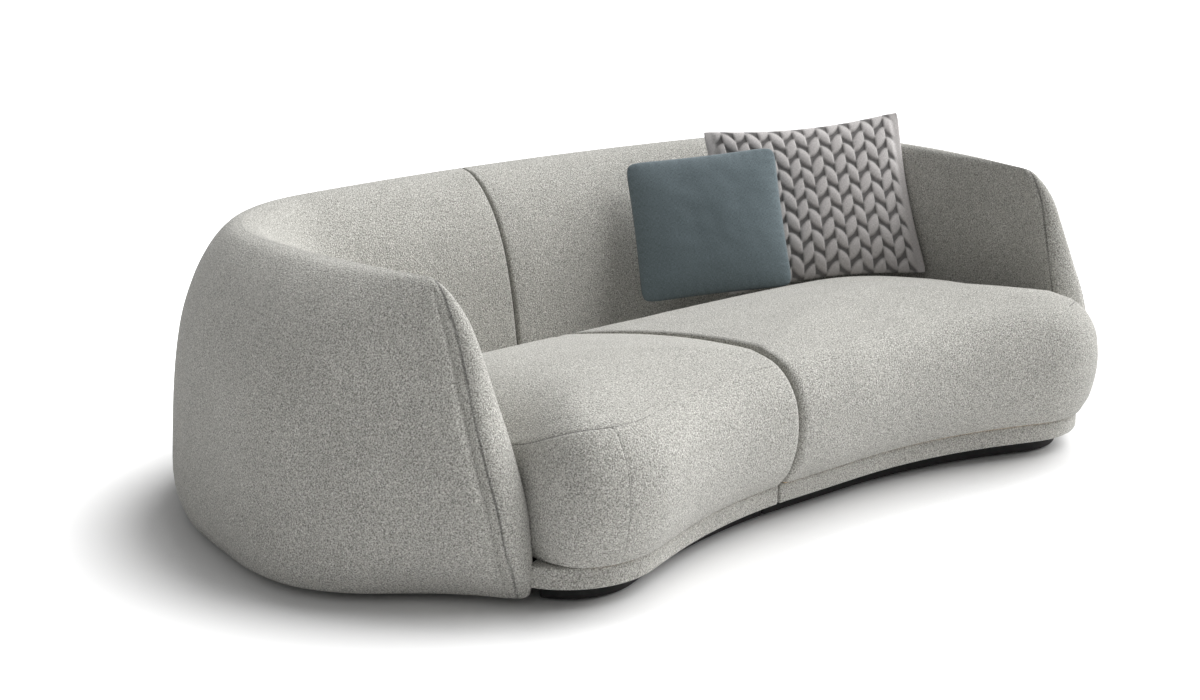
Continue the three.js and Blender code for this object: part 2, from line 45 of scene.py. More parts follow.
# The plan's lines in millimetres as arcs of length and radius, and its shift to the row frame.
plan = {
    "shift": (-3.3515, 667.3282),
    "ridge": [(745, -5100), (455 * math.radians(82), -455), (630, -2400)],
    "front": [(130, 5.1e6), (1450 * math.radians(20), -1450), (95, 5.1e6), (225 * math.radians(56), 225)],
    "frontDistance": 1316,
    "splitOffset": 184,
    "splitGap": 8,
}
sides = ((-1, "left"), (1, "right"))
farSeam = 500  # what a point far from every seam is given, in millimetres


def lerp(a, b, t):
    return a + (b - a) * t


def smooth(t):
    c = min(max(t, 0), 1)
    return c * c * (3 - 2 * c)


def blend(start, end, startSlope, endSlope, t):
    return (
        (2 * t**3 - 3 * t**2 + 1) * start
        + (t**3 - 2 * t**2 + t) * startSlope
        + (3 * t**2 - 2 * t**3) * end
        + (t**3 - t**2) * endSlope
    )


def entryOf(places, x):
    i = 0
    while i < len(places) - 2 and x > places[i + 1]:
        i += 1
    return i


def eased(places, values, x):
    i = entryOf(places, x)
    return lerp(values[i], values[i + 1], smooth((x - places[i]) / (places[i + 1] - places[i])))


# A smooth line through a table that never passes its entries.
def curved(places, values, x):
    gaps = [b - a for a, b in zip(places, places[1:])]
    slopes = [(b - a) / gap for a, b, gap in zip(values, values[1:], gaps)]
    tangents = [slopes[0]]
    for a, b in zip(slopes, slopes[1:]):
        tangents.append(0 if a * b <= 0 else 2 * a * b / (a + b))
    tangents.append(slopes[-1])
    i = entryOf(places, x)
    gap = gaps[i]
    return blend(values[i], values[i + 1], gap * tangents[i], gap * tangents[i + 1], (x - places[i]) / gap)


def walk(arcs, x, y, distance):
    heading, left = 0.0, distance
    for i, (length, radius) in enumerate(arcs):
        step = left if i == len(arcs) - 1 else min(left, length)
        turn = step / radius
        x += radius * (math.sin(heading + turn) - math.sin(heading))
        y -= radius * (math.cos(heading + turn) - math.cos(heading))
        heading += turn
        left -= step
        if left <= 0:
            break
    return x, y, heading


ridgeLength = sum(length for length, _ in plan["ridge"])
frontLength = sum(length for length, _ in plan["front"])


def ridgePoint(distance, reach):
    mirror = -1 if distance < 0 else 1
    x, y, heading = walk(plan["ridge"], 0, 0, abs(distance))
    return mirror * (x - math.sin(heading) * reach), y + math.cos(heading) * reach


def frontPoint(distance, reach):
    mirror = -1 if distance < 0 else 1
    x, y, heading = walk(plan["front"], 0, -plan["frontDistance"], abs(distance))
    return mirror * (x + math.sin(heading) * reach), y - math.cos(heading) * reach


def toRow(side, point, z):
    return Vector(((side * point[0] + plan["shift"][0]) / 1000, (point[1] + plan["shift"][1]) / 1000, z / 1000))


def startOf(side):
    return -side * plan["splitOffset"] + plan["splitGap"] / 2


# A smooth mesh from rows of points with as many marks. Closed rows meet at their ends.
def surface(name, rows, marks, body, closed=True):
    bm = bmesh.new()
    count = len(rows[0])
    wide = count if closed else count - 1
    bmesh.ops.create_grid(bm, x_segments=wide, y_segments=len(rows) - 1, size=1)
    bm.verts.ensure_lookup_table()
    layers = {key: bm.verts.layers.float.new(key) for key in marks}
    for j, row in enumerate(rows):
        for i in range(wide + 1):
            vert = bm.verts[j * (wide + 1) + i]
            vert.co = row[i % count]
            for key, layer in layers.items():
                vert[layer] = marks[key][j][i % count]
    bmesh.ops.remove_doubles(bm, verts=bm.verts, dist=0.00002)
    bmesh.ops.recalc_face_normals(bm, faces=bm.faces)
    mesh = bpy.data.meshes.new(name)
    bm.to_mesh(mesh)
    bm.free()
    mesh.shade_smooth()
    obj = bpy.data.objects.new(name, mesh)
    bpy.context.scene.collection.objects.link(obj)
    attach(obj, body)
    return obj


# A back and its arm. Tables over places run from the slit to the arm's front, and those over heights from bottom to top.
back = {
    "top": 725,
    "bottom": 18,
    "outerPlaces": [0, 0.46, 0.58, 0.7, 0.78, 0.85, 0.91, 1],
    "outerReaches": [130, 192, 212, 255, 284, 262, 196, 95],
    "innerPlaces": [0, 0.46, 0.8, 1],
    "innerReaches": [262, 235, 84, 28],
    "heights": [0, 0.1, 0.27, 0.47, 0.66, 0.81, 0.92, 0.978, 0.993, 1],
    "outer": [1.01, 1.01, 0.98, 0.92, 0.81, 0.63, 0.41, 0.215, 0.121, 0],
    "inner": [1, 1, 0.97, 0.9, 0.79, 0.63, 0.42, 0.225, 0.127, 0],
    "lead": [0.8, 0.84, 0.81, 0.66, 0.45, 0.28, 0.14, 0.05, 0.02, 0],
    "toe": [0.25, 0.6, 0.95, 1.05, 0.95, 0.9, 1, 1, 1, 1],
    "toeStart": 0.8,
    "frontLead": 232,
    "leadStart": 0.62,
    "bulge": 18,
    "stations": 88,
    "firstStation": 0.012,
    "leastStep": 0.5,
    "panelSteps": 26,
    "levels": 50,
    "slitRadius": 11,
    "slitSteps": 5,
    "bottomRadius": 14,
    "bottomAngles": (0.4, 0.8, 1.2),
    "lipInsets": (46, 30),
    "lipLift": 0.1,
    "outerCorner": 26,
    "innerCorner": 22,
    "seamInset": 7,
    "seamStart": 6,
    "roundShare": 0.84,
    "roundLength": 62,
    "rollDepth": 30,
    "rollShare": 0.16,
}


# Reach of the outer face and of the inner face, and how far the arm's front runs ahead.
def backFaces(u, share):
    toe = smooth((u - back["toeStart"]) / (1 - back["toeStart"]))
    outer = curved(back["heights"], back["outer"], share)
    toeShare = curved(back["heights"], back["toe"], share)
    over = min(max((share - back["roundShare"]) / (1 - back["roundShare"]), 0), 1)
    pull = back["roundLength"] * (1 - math.sqrt(1 - over * over))
    under = max(1 - share / back["rollShare"], 0)
    roll = back["rollDepth"] * (1 - math.sqrt(1 - under * under)) * (1 - toe)
    outerReach = curved(back["outerPlaces"], back["outerReaches"], u)
    innerReach = eased(back["innerPlaces"], back["innerReaches"], u)
    return (
        outerReach * lerp(outer, outer * toeShare, toe) - roll,
        -innerReach * curved(back["heights"], back["inner"], share),
        back["frontLead"] * curved(back["heights"], back["lead"], share) - pull,
    )


def backAlong(start, u, lead):
    return lerp(start, ridgeLength, u) + lead * smooth((u - back["leadStart"]) / (1 - back["leadStart"]))


# How far a rounded corner stands back from its face, at a distance from the corner's edge.
def cornerCut(distance, radius):
    if distance >= radius:
        return 0
    return radius * (1 - math.sqrt(max(1 - (1 - distance / radius) ** 2, 0)))


# Ring round a back piece at height z, with each point's distance to the nearest seam.
def backRing(side, z, inset):
    start = startOf(side)
    share = min(max((z - back["bottom"]) / (back["top"] - back["bottom"]), 0), 1)
    points, seams = [], []

    def put(along, reach, seam):
        points.append(toRow(side, ridgePoint(along, reach), z))
        seams.append(seam / 1000)

    slitOuter, slitInner, _ = backFaces(0, share)
    radius = min(back["slitRadius"], 0.45 * max(slitOuter - slitInner - 2 * inset, 0))
    quarter = [math.pi / 2 * k / back["slitSteps"] for k in range(back["slitSteps"] + 1)]
    for angle in quarter:
        put(start + inset + radius * (1 - math.cos(angle)), slitOuter - inset - radius * (1 - math.sin(angle)), farSeam)
    outer, inner, lead = backFaces(1, share)
    width = max(outer - inner - 2 * inset, 0)
    end = backAlong(start, 1, lead)
    outerCorner = min(back["outerCorner"], 0.5 * width)
    innerCorner = min(back["innerCorner"], 0.5 * width)
    last = back["stations"]
    stations = [lerp(back["firstStation"], 1, i / last) for i in range(1, last + 1)]

    def stationAlong(i, faceLead, corner):
        held = end - corner - inset - (last - 1 - i) * back["leastStep"]
        return min(backAlong(start, stations[i], faceLead), held)

    for i, u in enumerate(stations):
        faceOuter, _, faceLead = backFaces(u, share)
        along = stationAlong(i, faceLead, outerCorner)
        put(along, faceOuter - inset, (end - along) + back["seamStart"])
    # The panel that closes the arm's front.
    for i in range(1, back["panelSteps"]):
        t = 0.5 - 0.5 * math.cos(math.pi * i / back["panelSteps"])
        fromOuter, fromInner = t * width, (1 - t) * width
        along = end - inset + min(back["bulge"], width / 4) * 4 * t * (1 - t)
        along -= cornerCut(fromOuter, outerCorner) + cornerCut(fromInner, innerCorner)
        seam = min(abs(fromOuter - back["seamInset"]), abs(fromInner - back["seamInset"]))
        put(along, outer - inset - fromOuter, seam)
    for i, u in reversed(list(enumerate(stations))):
        _, faceInner, faceLead = backFaces(u, share)
        along = stationAlong(i, faceLead, innerCorner)
        put(along, faceInner + inset, (end - along) + back["seamStart"])
    for angle in reversed(quarter):
        put(start + inset + radius * (1 - math.cos(angle)), slitInner + inset + radius * (1 - math.sin(angle)), farSeam)
    return points, seams


def makeBack(side, name):
    low, high, radius = back["bottom"], back["top"], back["bottomRadius"]
    levels = [(low + back["lipLift"], back["lipInsets"][0]), (low, back["lipInsets"][1]), (low, radius)]
    for angle in back["bottomAngles"]:
        levels.append((low + radius * (1 - math.cos(angle)), radius * (1 - math.sin(angle))))
    for k in range(1, back["levels"] + 1):
        levels.append((lerp(low + radius, high, 1 - (1 - k / back["levels"]) ** 2), 0))
    rings = [backRing(side, z, inset) for z, inset in levels]
    piece = surface(f"{name}_back", [ring[0] for ring in rings], {"seam": [ring[1] for ring in rings]}, "sofa")
    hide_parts(f"{name}_back_cover", f"{name}_back_foam")
    return piece


# A seat. Its section is a table of rings from the bottom up: shares of height, of the tuck and of the roll.
seat = {
    "bottom": 108,
    "rear": 262,
    "front": 438,
    "crown": 34,
    "drop": 72,
    "overhang": 51,
    "tuck": 38,
    "roll": 150,
    "sideRoll": 0.29,
    "slitRoll": 0.08,
    "clearance": 9,
    "sideStart": 0.95,
    "sideHeight": 0.27,
    "cornerCut": 42,
    "cornerSteps": 7,
    "heights": [0, 0.15, 0.4, 0.63, 0.82, 0.94, 1],
    "tucks": [1, 0.42, 0.06, 0, 0, 0, 0],
    "rolls": [0, 0, 0, 0.05, 0.24, 0.56, 1],
    "ringSteps": 48,
    "crownSteps": 30,
    "leastShare": 0.004,
    "lipShare": 0.08,
    "lipLift": 0.1,
    "frontCount": 80,
    "sideCount": 64,
    "slitCount": 26,
    "slitCorner": 22,
    "slitCornerSteps": 6,
    "slitDistance": 900,
    "slitSteepness": 6,
    "slitDropSteepness": 5,
    "swell": 24,
    "swellLength": 1100,
    "seamLevel": 4.9,
    "seamCorner": 62,
    "seamEnd": 260,
    "seamPlain": 0.4,
    "seamFaint": (0.9, 1.7),
    "seamFade": {-1: 400, 1: 60},
}


def seatTop(y):
    innerReach = back["innerReaches"][0]
    t = min(max((-y - innerReach) / (plan["frontDistance"] - innerReach), 0), 1)
    return lerp(seat["rear"], seat["front"], math.sin(t * math.pi / 2))


# Plan of a seat as points, each with its drop and its distance along the edge from the front corner.
def seatPlan(side, frontReach, sideInset, slitInset, swell):
    start = startOf(side) + slitInset
    end = frontLength - seat["cornerCut"]
    radius = seat["slitCorner"]

    def swollen(distance):
        return frontPoint(distance, frontReach + swell * (1 - smooth(abs(distance) / seat["swellLength"])))

    points = []
    for i in range(seat["frontCount"] + 1):
        distance = lerp(start + radius, end, i / seat["frontCount"])
        points.append((swollen(distance), 0, distance - end))
    edge = []
    for i in range(seat["sideCount"]):
        u = lerp(seat["sideStart"], 0, i / (seat["sideCount"] - 1))
        along = backAlong(startOf(side), u, backFaces(u, seat["sideHeight"])[2])
        if i == seat["sideCount"] - 1:
            along += slitInset
        reach = eased(back["innerPlaces"], back["innerReaches"], u)
        edge.append(ridgePoint(along, -(reach + seat["clearance"] + sideInset)))
    # The corner between the front and the side is a soft curve.
    corner, first = points[-1][0], edge[0]
    before, after = points[-3][0], edge[2]
    gap = math.dist(corner, first)
    for k in range(1, seat["cornerSteps"]):
        t = k / seat["cornerSteps"]
        bent = []
        for n in (0, 1):
            leaving = (corner[n] - before[n]) / math.dist(corner, before) * gap
            arriving = (after[n] - first[n]) / math.dist(after, first) * gap
            bent.append(blend(corner[n], first[n], leaving, arriving, t))
        points.append((tuple(bent), smooth(t), gap * t))
    travelled = gap
    for k, point in enumerate(edge):
        if k:
            travelled += math.dist(point, edge[k - 1])
        points.append((point, 1, travelled))
    # The side at the slit runs forward to its rounded front corner.
    rear, front, joined = edge[-1], swollen(start), swollen(start + radius)
    lowest = front[1] + radius
    for i in range(1, seat["slitCount"]):
        t = i / seat["slitCount"]
        x = lerp(rear[0], front[0], smooth(t * seat["slitSteepness"]))
        drop = 1 - smooth(t * seat["slitDropSteepness"])
        points.append(((x, lerp(rear[1], lowest, t)), drop, seat["slitDistance"]))
    for k in range(seat["slitCornerSteps"]):
        t = k / seat["slitCornerSteps"]
        a, b = (front[0], lowest), front
        bent = tuple((1 - t) ** 2 * a[n] + 2 * t * (1 - t) * b[n] + t * t * joined[n] for n in (0, 1))
        points.append((bent, 0, seat["slitDistance"]))
    return points


# The seam along the front, with its fold and its painted shade, shows faintly on the shorter seat only. Round the arm's
# end it is plain.
def seamFade(side, distance):
    if distance > seat["seamEnd"]:
        return farSeam
    past = -seat["seamCorner"] - distance
    if past < 0:
        return seat["seamPlain"]
    near, far = seat["seamFaint"]
    return lerp(near, far if side < 0 else farSeam, smooth(past / seat["seamFade"][side]))


def makeSeat(side, name):
    indices = list(range(len(seat["heights"])))
    steps = [indices[-1] * k / seat["ringSteps"] for k in range(seat["ringSteps"] + 1)]
    widest = seatPlan(side, seat["overhang"], 0, 0, 0)
    count = len(widest)
    middle = [sum(entry[0][n] for entry in widest) / count for n in (0, 1)]
    lowest = seat["bottom"]
    rings, travels = [], []
    for step in steps:
        tuck = curved(indices, seat["tucks"], step)
        draw = tuck * seat["tuck"] + curved(indices, seat["rolls"], step) * seat["roll"]
        heightShare = curved(indices, seat["heights"], step)
        swell = seat["swell"] * (1 - tuck)
        points = seatPlan(side, seat["overhang"] - draw, draw * seat["sideRoll"], draw * seat["slitRoll"], swell)
        ring = []
        for point, drop, distance in points:
            rim = seatTop(point[1]) - seat["drop"] * drop
            ring.append((point, drop, distance, lerp(lowest, rim, heightShare)))
        if rings:
            pairs = zip(travels[-1], rings[-1], ring)
            travels.append([t + math.dist((*a[0], a[3]), (*b[0], b[3])) for t, a, b in pairs])
        else:
            travels.append([0.0] * count)
        rings.append(ring)
    seamRow = min(range(len(steps)), key=lambda k: abs(steps[k] - seat["seamLevel"]))
    seamTravel = travels[seamRow]
    lip = [tuple(lerp(entry[0][n], middle[n], seat["lipShare"]) for n in (0, 1)) for entry in rings[0]]
    rows = [[toRow(side, point, lowest + seat["lipLift"]) for point in lip]]
    seams = [[farSeam / 1000] * count]
    for k, ring in enumerate(rings):
        rows.append([toRow(side, entry[0], entry[3]) for entry in ring])
        marks = []
        for i, (_, _, distance, _) in enumerate(ring):
            level = abs(travels[k][i] - seamTravel[i]) + seamFade(side, distance)
            upright = abs(distance + seat["seamCorner"]) + seat["seamPlain"] if k < seamRow else farSeam
            marks.append(min(level, upright) / 1000)
        seams.append(marks)
    # The crown closes the top toward the middle.
    rim = rings[-1]
    for k in range(1, seat["crownSteps"] + 1):
        share = max(1 - k / seat["crownSteps"], seat["leastShare"])
        row, marks = [], []
        for i, (point, drop, distance, _) in enumerate(rim):
            moved = [lerp(middle[n], point[n], share) for n in (0, 1)]
            top = seatTop(moved[1]) - seat["drop"] * drop * share**4
            row.append(toRow(side, moved, top + seat["crown"] * (1 - share * share)))
            reach = math.dist(point, middle) * (1 - share)
            marks.append((reach + travels[-1][i] - seamTravel[i] + seamFade(side, distance)) / 1000)
        rows.append(row)
        seams.append(marks)
    rows.append([toRow(side, middle, seatTop(middle[1]) + seat["crown"])] * count)
    seams.append([farSeam / 1000] * count)
    piece = surface(f"{name}_seat", rows, {"seam": seams}, "sofa")
    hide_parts(f"{name}_seat_cover", f"{name}_seat_foam")
    return piece


# Strips under the seats' front edges. Their ends are steps along, each with its share of the section.
band = {"low": 50, "high": 104, "face": 0, "thickness": 48, "radius": 7, "run": 104}
# The plinth is a black board set back under the band; its black also stands in for the shade under the sofa's front.
plinth = {"low": 6, "high": 49, "face": 56, "thickness": 18, "radius": 2, "run": 100}
strip = {"stations": 90, "cornerSteps": 4, "ends": [(0, 0.001), (0, 0.8), (1.5, 0.93), (5, 1)], "margin": 8}


def makeStrip(side, name, spec, replaced):
    low, high, radius = spec["low"], spec["high"], spec["radius"]
    outside, inside = -spec["face"], -spec["face"] - spec["thickness"]
    corners = [
        (outside - radius, low + radius, -90),
        (outside - radius, high - radius, 0),
        (inside + radius, high - radius, 90),
        (inside + radius, low + radius, 180),
    ]
    section = []
    for reach, z, angle in corners:
        for k in range(strip["cornerSteps"] + 1):
            a = math.radians(angle + 90 * k / strip["cornerSteps"])
            section.append((reach + radius * math.cos(a), z + radius * math.sin(a)))
    middle = ((outside + inside) / 2, (low + high) / 2)
    start, end = startOf(side), frontLength + spec["run"]
    first, last = start + strip["margin"], end - strip["margin"]
    stops = [(start + step, share) for step, share in strip["ends"]]
    stops += [(lerp(first, last, k / strip["stations"]), 1) for k in range(1, strip["stations"])]
    stops += [(end - step, share) for step, share in reversed(strip["ends"])]
    rows = []
    for distance, share in stops:
        row = []
        for reach, z in section:
            point = frontPoint(distance, lerp(middle[0], reach, share))
            row.append(toRow(side, point, lerp(middle[1], z, share)))
        rows.append(row)
    piece = surface(name, rows, {"seam": [[farSeam / 1000] * len(section)] * len(rows)}, "sofa")
    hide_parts(replaced)
    return piece


def makeBand(side, name):
    piece = makeStrip(side, f"{name}_band", band, f"{name}_base_band")
    return piece


# A black board under the band, whose black also paints the shade beneath the seat front.
def makeShadePlinth(side, name):
    piece = makeStrip(side, f"{name}_plinth", plinth, f"{name}_front_plinth")
    return piece


# The board under a back, held inside its rolled lower edge.
sill = {"low": 18.6, "high": 36, "inset": 34, "edge": 1.5}


# Points midway between a ring's outer and inner side, which close it where the ring collapses onto them.
def spineOf(row):
    halves = [(row[i] + row[-1 - i]) / 2 for i in range(len(row) // 2)]
    spine = halves + halves[::-1]
    return spine + [spine[-1]] * (len(row) - len(spine))


def makeSill(side, name):
    low, high, edge, inset = sill["low"], sill["high"], sill["edge"], sill["inset"]
    levels = [(low, inset + edge), (low + edge, inset), (high - edge, inset), (high, inset + edge)]
    rows = [backRing(side, z, gap)[0] for z, gap in levels]
    rows = [spineOf(rows[0]), *rows, spineOf(rows[-1])]
    piece = surface(f"{name}_sill", rows, {"seam": [[farSeam / 1000] * len(rows[0])] * len(rows)}, "sofa")
    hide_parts(f"{name}_back_sill")
    return piece


backs = [makeBack(side, name) for side, name in sides]
seats = [makeSeat(side, name) for side, name in sides]
bands = [makeBand(side, name) for side, name in sides]
shadePlinths = [makeShadePlinth(side, name) for side, name in sides]
sills = [makeSill(side, name) for side, name in sides]
print("stage: upholstery")

# Loose cushions in metres and degrees. drawWide and drawHigh hollow the edges, and soft rounds the corners.
blueCushion = {
    "width": 0.455,
    "height": 0.434,
    "thickness": 0.116,
    "steps": 96,
    "drawWide": 0.022,
    "drawHigh": 0.022,
    "soft": 0.05,
    "turn": -41,
    "lean": 25,
    "roll": 7,
    "place": (0.4265, 0.2605, 0.5368),
    "leastDepth": 0.0006,
    "pucker": 0.0011,
    "puckerScale": 190,
    "puckerWander": 3,
    "puckerReach": 0.022,
    "waves": [(0.006, 1.6, 3.1), (0.0022, 5, 1.7)],
}
greyCushion = {
    "width": 0.63,
    "height": 0.532,
    "thickness": 0.116,
    "steps": 168,
    "drawWide": 0.05,
    "drawHigh": 0.1,
    "soft": 0.02,
    "turn": -34,
    "lean": 28,
    "roll": 5,
    "place": (0.8045, 0.1838, 0.5685),
    "leastDepth": 0.0022,
    "columns": 8.5,
    "rows": 7.2,
    "puff": 0.0085,
    "leafTurn": 31,
    "leafLength": 0.6,
    "leafWidth": 0.265,
    "flange": 0.018,
    "flangeFade": 0.02,
    "edgeFade": 0.03,
}


# Height of the plaited quilting, from 0 in its stitches to 1 on a puff.
def leafHeight(x, z, spec):
    wide, tall = spec["width"] / spec["columns"], spec["height"] / spec["rows"]
    local = x - math.floor(x / wide + 0.5) * wide
    shift = 0.5 if local < 0 else 0
    turn = math.radians(spec["leafTurn"])
    row = math.floor(z / tall)
    best = 0.0
    for k in (row - 2, row - 1, row, row + 1):
        dx, dz = abs(local) - wide / 4, z - (k + 0.5 + shift) * tall
        along = dx * math.sin(turn) + dz * math.cos(turn)
        across = dx * math.cos(turn) - dz * math.sin(turn)
        height = 1 - (along / (spec["leafLength"] * tall)) ** 2 - (across / (spec["leafWidth"] * wide)) ** 2
        best = max(best, height)
    return math.sqrt(best)


def quiltedDepth(spec, a, b, face, full, x, z, fromEdge):
    sideEdge = (1 - abs(a)) * spec["width"] / 2
    flange = smooth((sideEdge - spec["flange"]) / spec["flangeFade"])
    leaf = leafHeight(x, z, spec)
    hold = lerp(0.25, 1, smooth(fromEdge / spec["edgeFade"]))
    depth = spec["thickness"] / 2 * full * lerp(0.5, 1, flange)
    # The second value, low in the quilting's creases, is turned by the cloth into painted shade.
    return depth - spec["puff"] * (1 - leaf) * hold * flange, lerp(1, leaf, flange)


def plainDepth(spec, a, b, face, full, x, z, fromEdge):
    along = x if (1 - abs(b)) * spec["height"] < (1 - abs(a)) * spec["width"] else z
    wander = spec["puckerWander"] * noise.noise(Vector((along * 20, face, 0)))
    pucker = math.sin(along * spec["puckerScale"] + wander) * math.exp(-fromEdge / spec["puckerReach"])
    depth = spec["thickness"] / 2 * full + spec["pucker"] * pucker * smooth(fromEdge / 0.01)
    for height, scale, layer in spec["waves"]:
        depth += height * noise.noise(Vector((a * scale, b * scale, face * layer))) * full
    return depth, 1.0


def makeCushion(name, spec, depthAt):
    turned = (
        Matrix.Translation(spec["place"])
        @ Matrix.Rotation(math.radians(spec["turn"]), 4, "Z")
        @ Matrix.Rotation(math.radians(-spec["lean"]), 4, "X")
        @ Matrix.Rotation(math.radians(-spec["roll"]), 4, "Y")
    )
    halfWide, halfHigh = spec["width"] / 2, spec["height"] / 2
    n = spec["steps"]
    stops = [lerp(2 * i / n - 1, math.sin((i / n - 0.5) * math.pi), 0.35) for i in range(n + 1)]
    rows = []
    # puff and rim become painted shade on the cloth; across and upward place its threads.
    marks = {"puff": [], "rim": [], "across": [], "upward": []}
    # Both faces are one strip of rows: it goes up the front and down the rear.
    order = [(1, b) for b in stops] + [(-1, b) for b in stops[-2:0:-1]]
    for face, b in order:
        row, table = [], {key: [] for key in marks}
        for a in stops:
            full = math.sqrt(max((1 - a**4) * (1 - b**4), 0)) * (1 - 0.25 * (a * a + b * b))
            fromEdge = min((1 - abs(a)) * halfWide, (1 - abs(b)) * halfHigh)
            depth, puff = depthAt(spec, a, b, face, full, halfWide * a, halfHigh * b, fromEdge)
            depth = max(depth, spec["leastDepth"] if fromEdge > 0 else 0)
            corner = 1 - spec["soft"] * abs(a * b) ** 12
            x = halfWide * a * (1 - spec["drawWide"] * (1 - b * b)) * corner
            z = halfHigh * b * (1 - spec["drawHigh"] * (1 - a * a)) * corner
            row.append(turned @ Vector((x, -face * depth, z)))
            for key, value in (("puff", puff), ("rim", fromEdge), ("across", halfWide * a), ("upward", halfHigh * b)):
                table[key].append(value)
        rows.append(row)
        for key in marks:
            marks[key].append(table[key])
    for table in (rows, *marks.values()):
        table.append(table[0])
    return surface(name, rows, marks, name, closed=False)


for nodeName in ("blue_cushion", "grey_cushion"):
    frame["nodes"][nodeName].name = f"cad.{nodeName}"
bluePiece = makeCushion("blue_cushion", blueCushion, plainDepth)
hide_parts("blue_cushion")
greyPiece = makeCushion("grey_cushion", greyCushion, quiltedDepth)
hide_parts("grey_cushion")
print("stage: cushions")


def newNode(tree, kind, links=(), **values):
    made = tree.nodes.new(kind)
    for key, value in values.items():
        if hasattr(made, key):
            setattr(made, key, value)
        else:
            made.inputs[key.replace("_", " ")].default_value = value
    for socket, source in links:
        tree.links.new(source, made.inputs[socket])
    return made


def mapped(tree, source, fromMin, fromMax, toMin, toMax, kind="LINEAR"):
    made = newNode(tree, "ShaderNodeMapRange", [("Value", source)], interpolation_type=kind)
    for socket, value in (("From Min", fromMin), ("From Max", fromMax), ("To Min", toMin), ("To Max", toMax)):
        made.inputs[socket].default_value = value
    return made.outputs["Result"]


def combined(tree, operation, first, second):
    return newNode(tree, "ShaderNodeMath", [(0, first), (1, second)], operation=operation).outputs[0]


def toned(tree, colour, factor):
    made = newNode(tree, "ShaderNodeVectorMath", [(0, colour), ("Scale", factor)], operation="SCALE")
    return made.outputs["Vector"]


def stretched(tree, source, factors):
    made = newNode(tree, "ShaderNodeVectorMath", [(0, source)], operation="MULTIPLY")
    made.inputs[1].default_value = factors
    return made.outputs["Vector"]


def ramp(tree, source, stops):
    made = newNode(tree, "ShaderNodeValToRGB", [("Fac", source)])
    elements = made.color_ramp.elements
    while len(elements) < len(stops):
        elements.new(0.5)
    for element, (place, colour) in zip(elements, stops):
        element.position = place
        element.color = (*colour, 1)
    return made.outputs["Color"]


def attribute(tree, name):
    return newNode(tree, "ShaderNodeAttribute", attribute_name=name).outputs["Fac"]


def startGroup(name, inputs, outputs):
    group = bpy.data.node_groups.new(name, "ShaderNodeTree")
    for socketName, kind in inputs:
        group.interface.new_socket(name=socketName, in_out="INPUT", socket_type=kind)
    for socketName, kind in outputs:
        group.interface.new_socket(name=socketName, in_out="OUTPUT", socket_type=kind)
    return group, group.nodes.new("NodeGroupInput").outputs, group.nodes.new("NodeGroupOutput").inputs


# Two colours mixed by a value between two limits.
def mixedColour(tree, value, low, high, limits):
    share = mapped(tree, value, limits[0], limits[1], 0, 1)
    mix = tree.nodes.new("ShaderNodeMix")
    mix.data_type = "RGBA"
    sockets = {socket.identifier: socket for socket in mix.inputs}
    tree.links.new(share, sockets["Factor_Float"])
    tree.links.new(low, sockets["A_Color"])
    tree.links.new(high, sockets["B_Color"])
    return next(socket for socket in mix.outputs if socket.identifier == "Result_Color")


colourSocket, valueSocket, vectorSocket = "NodeSocketColor", "NodeSocketFloat", "NodeSocketVector"
grain = {"detail": 5, "roughness": 0.6, "limits": (0.35, 0.65), "bumpDistance": 0.001}
weave = {"threads": ((900, 130, 1), (130, 900, 1)), "detail": 2, "limits": (0.38, 0.62), "bump": (0.35, 0.0008)}


def grainGroup():
    inputs = [("Vector", vectorSocket), ("Scale", valueSocket), ("Low", colourSocket), ("High", colourSocket)]
    group, given, result = startGroup("grain", inputs, [("Color", colourSocket), ("Height", valueSocket)])
    links = [("Vector", given["Vector"]), ("Scale", given["Scale"])]
    pattern = newNode(group, "ShaderNodeTexNoise", links, Detail=grain["detail"], Roughness=grain["roughness"])
    value = pattern.outputs["Fac"]
    group.links.new(mixedColour(group, value, given["Low"], given["High"], grain["limits"]), result["Color"])
    group.links.new(value, result["Height"])
    return group


def weaveGroup():
    inputs = [("Across", valueSocket), ("Upward", valueSocket), ("Low", colourSocket), ("High", colourSocket)]
    # Its last input darkens the colour where shade is painted.
    inputs.append(("Tone", valueSocket))
    group, given, result = startGroup("weave", inputs, [("Color", colourSocket), ("Height", valueSocket)])
    lying = newNode(group, "ShaderNodeCombineXYZ", [("X", given["Across"]), ("Y", given["Upward"])])
    threads = []
    for factors in weave["threads"]:
        links = [("Vector", stretched(group, lying.outputs["Vector"], factors))]
        threads.append(newNode(group, "ShaderNodeTexNoise", links, Scale=1, Detail=weave["detail"]).outputs["Fac"])
    half = newNode(group, "ShaderNodeMath", [(0, combined(group, "ADD", *threads))], operation="MULTIPLY")
    half.inputs[1].default_value = 0.5
    colour = mixedColour(group, half.outputs[0], given["Low"], given["High"], weave["limits"])
    group.links.new(toned(group, colour, given["Tone"]), result["Color"])
    group.links.new(half.outputs[0], result["Height"])
    return group


def placed(tree, group, links, colours):
    made = tree.nodes.new("ShaderNodeGroup")
    made.node_tree = group
    for socket, source in links:
        tree.links.new(source, made.inputs[socket])
    for socket, colour in zip(("Low", "High"), colours):
        made.inputs[socket].default_value = (*colour, 1)
    return made


def startMaterial(name):
    material = bpy.data.materials.new(name)
    material.use_nodes = True
    tree = material.node_tree
    coordinates = tree.nodes.new("ShaderNodeTexCoord").outputs["Object"]
    return material, tree, tree.nodes["Principled BSDF"], coordinates


def bumped(tree, shader, height, strength, distance):
    bump = newNode(tree, "ShaderNodeBump", [("Height", height)], Strength=strength, Distance=distance)
    tree.links.new(bump.outputs["Normal"], shader.inputs["Normal"])


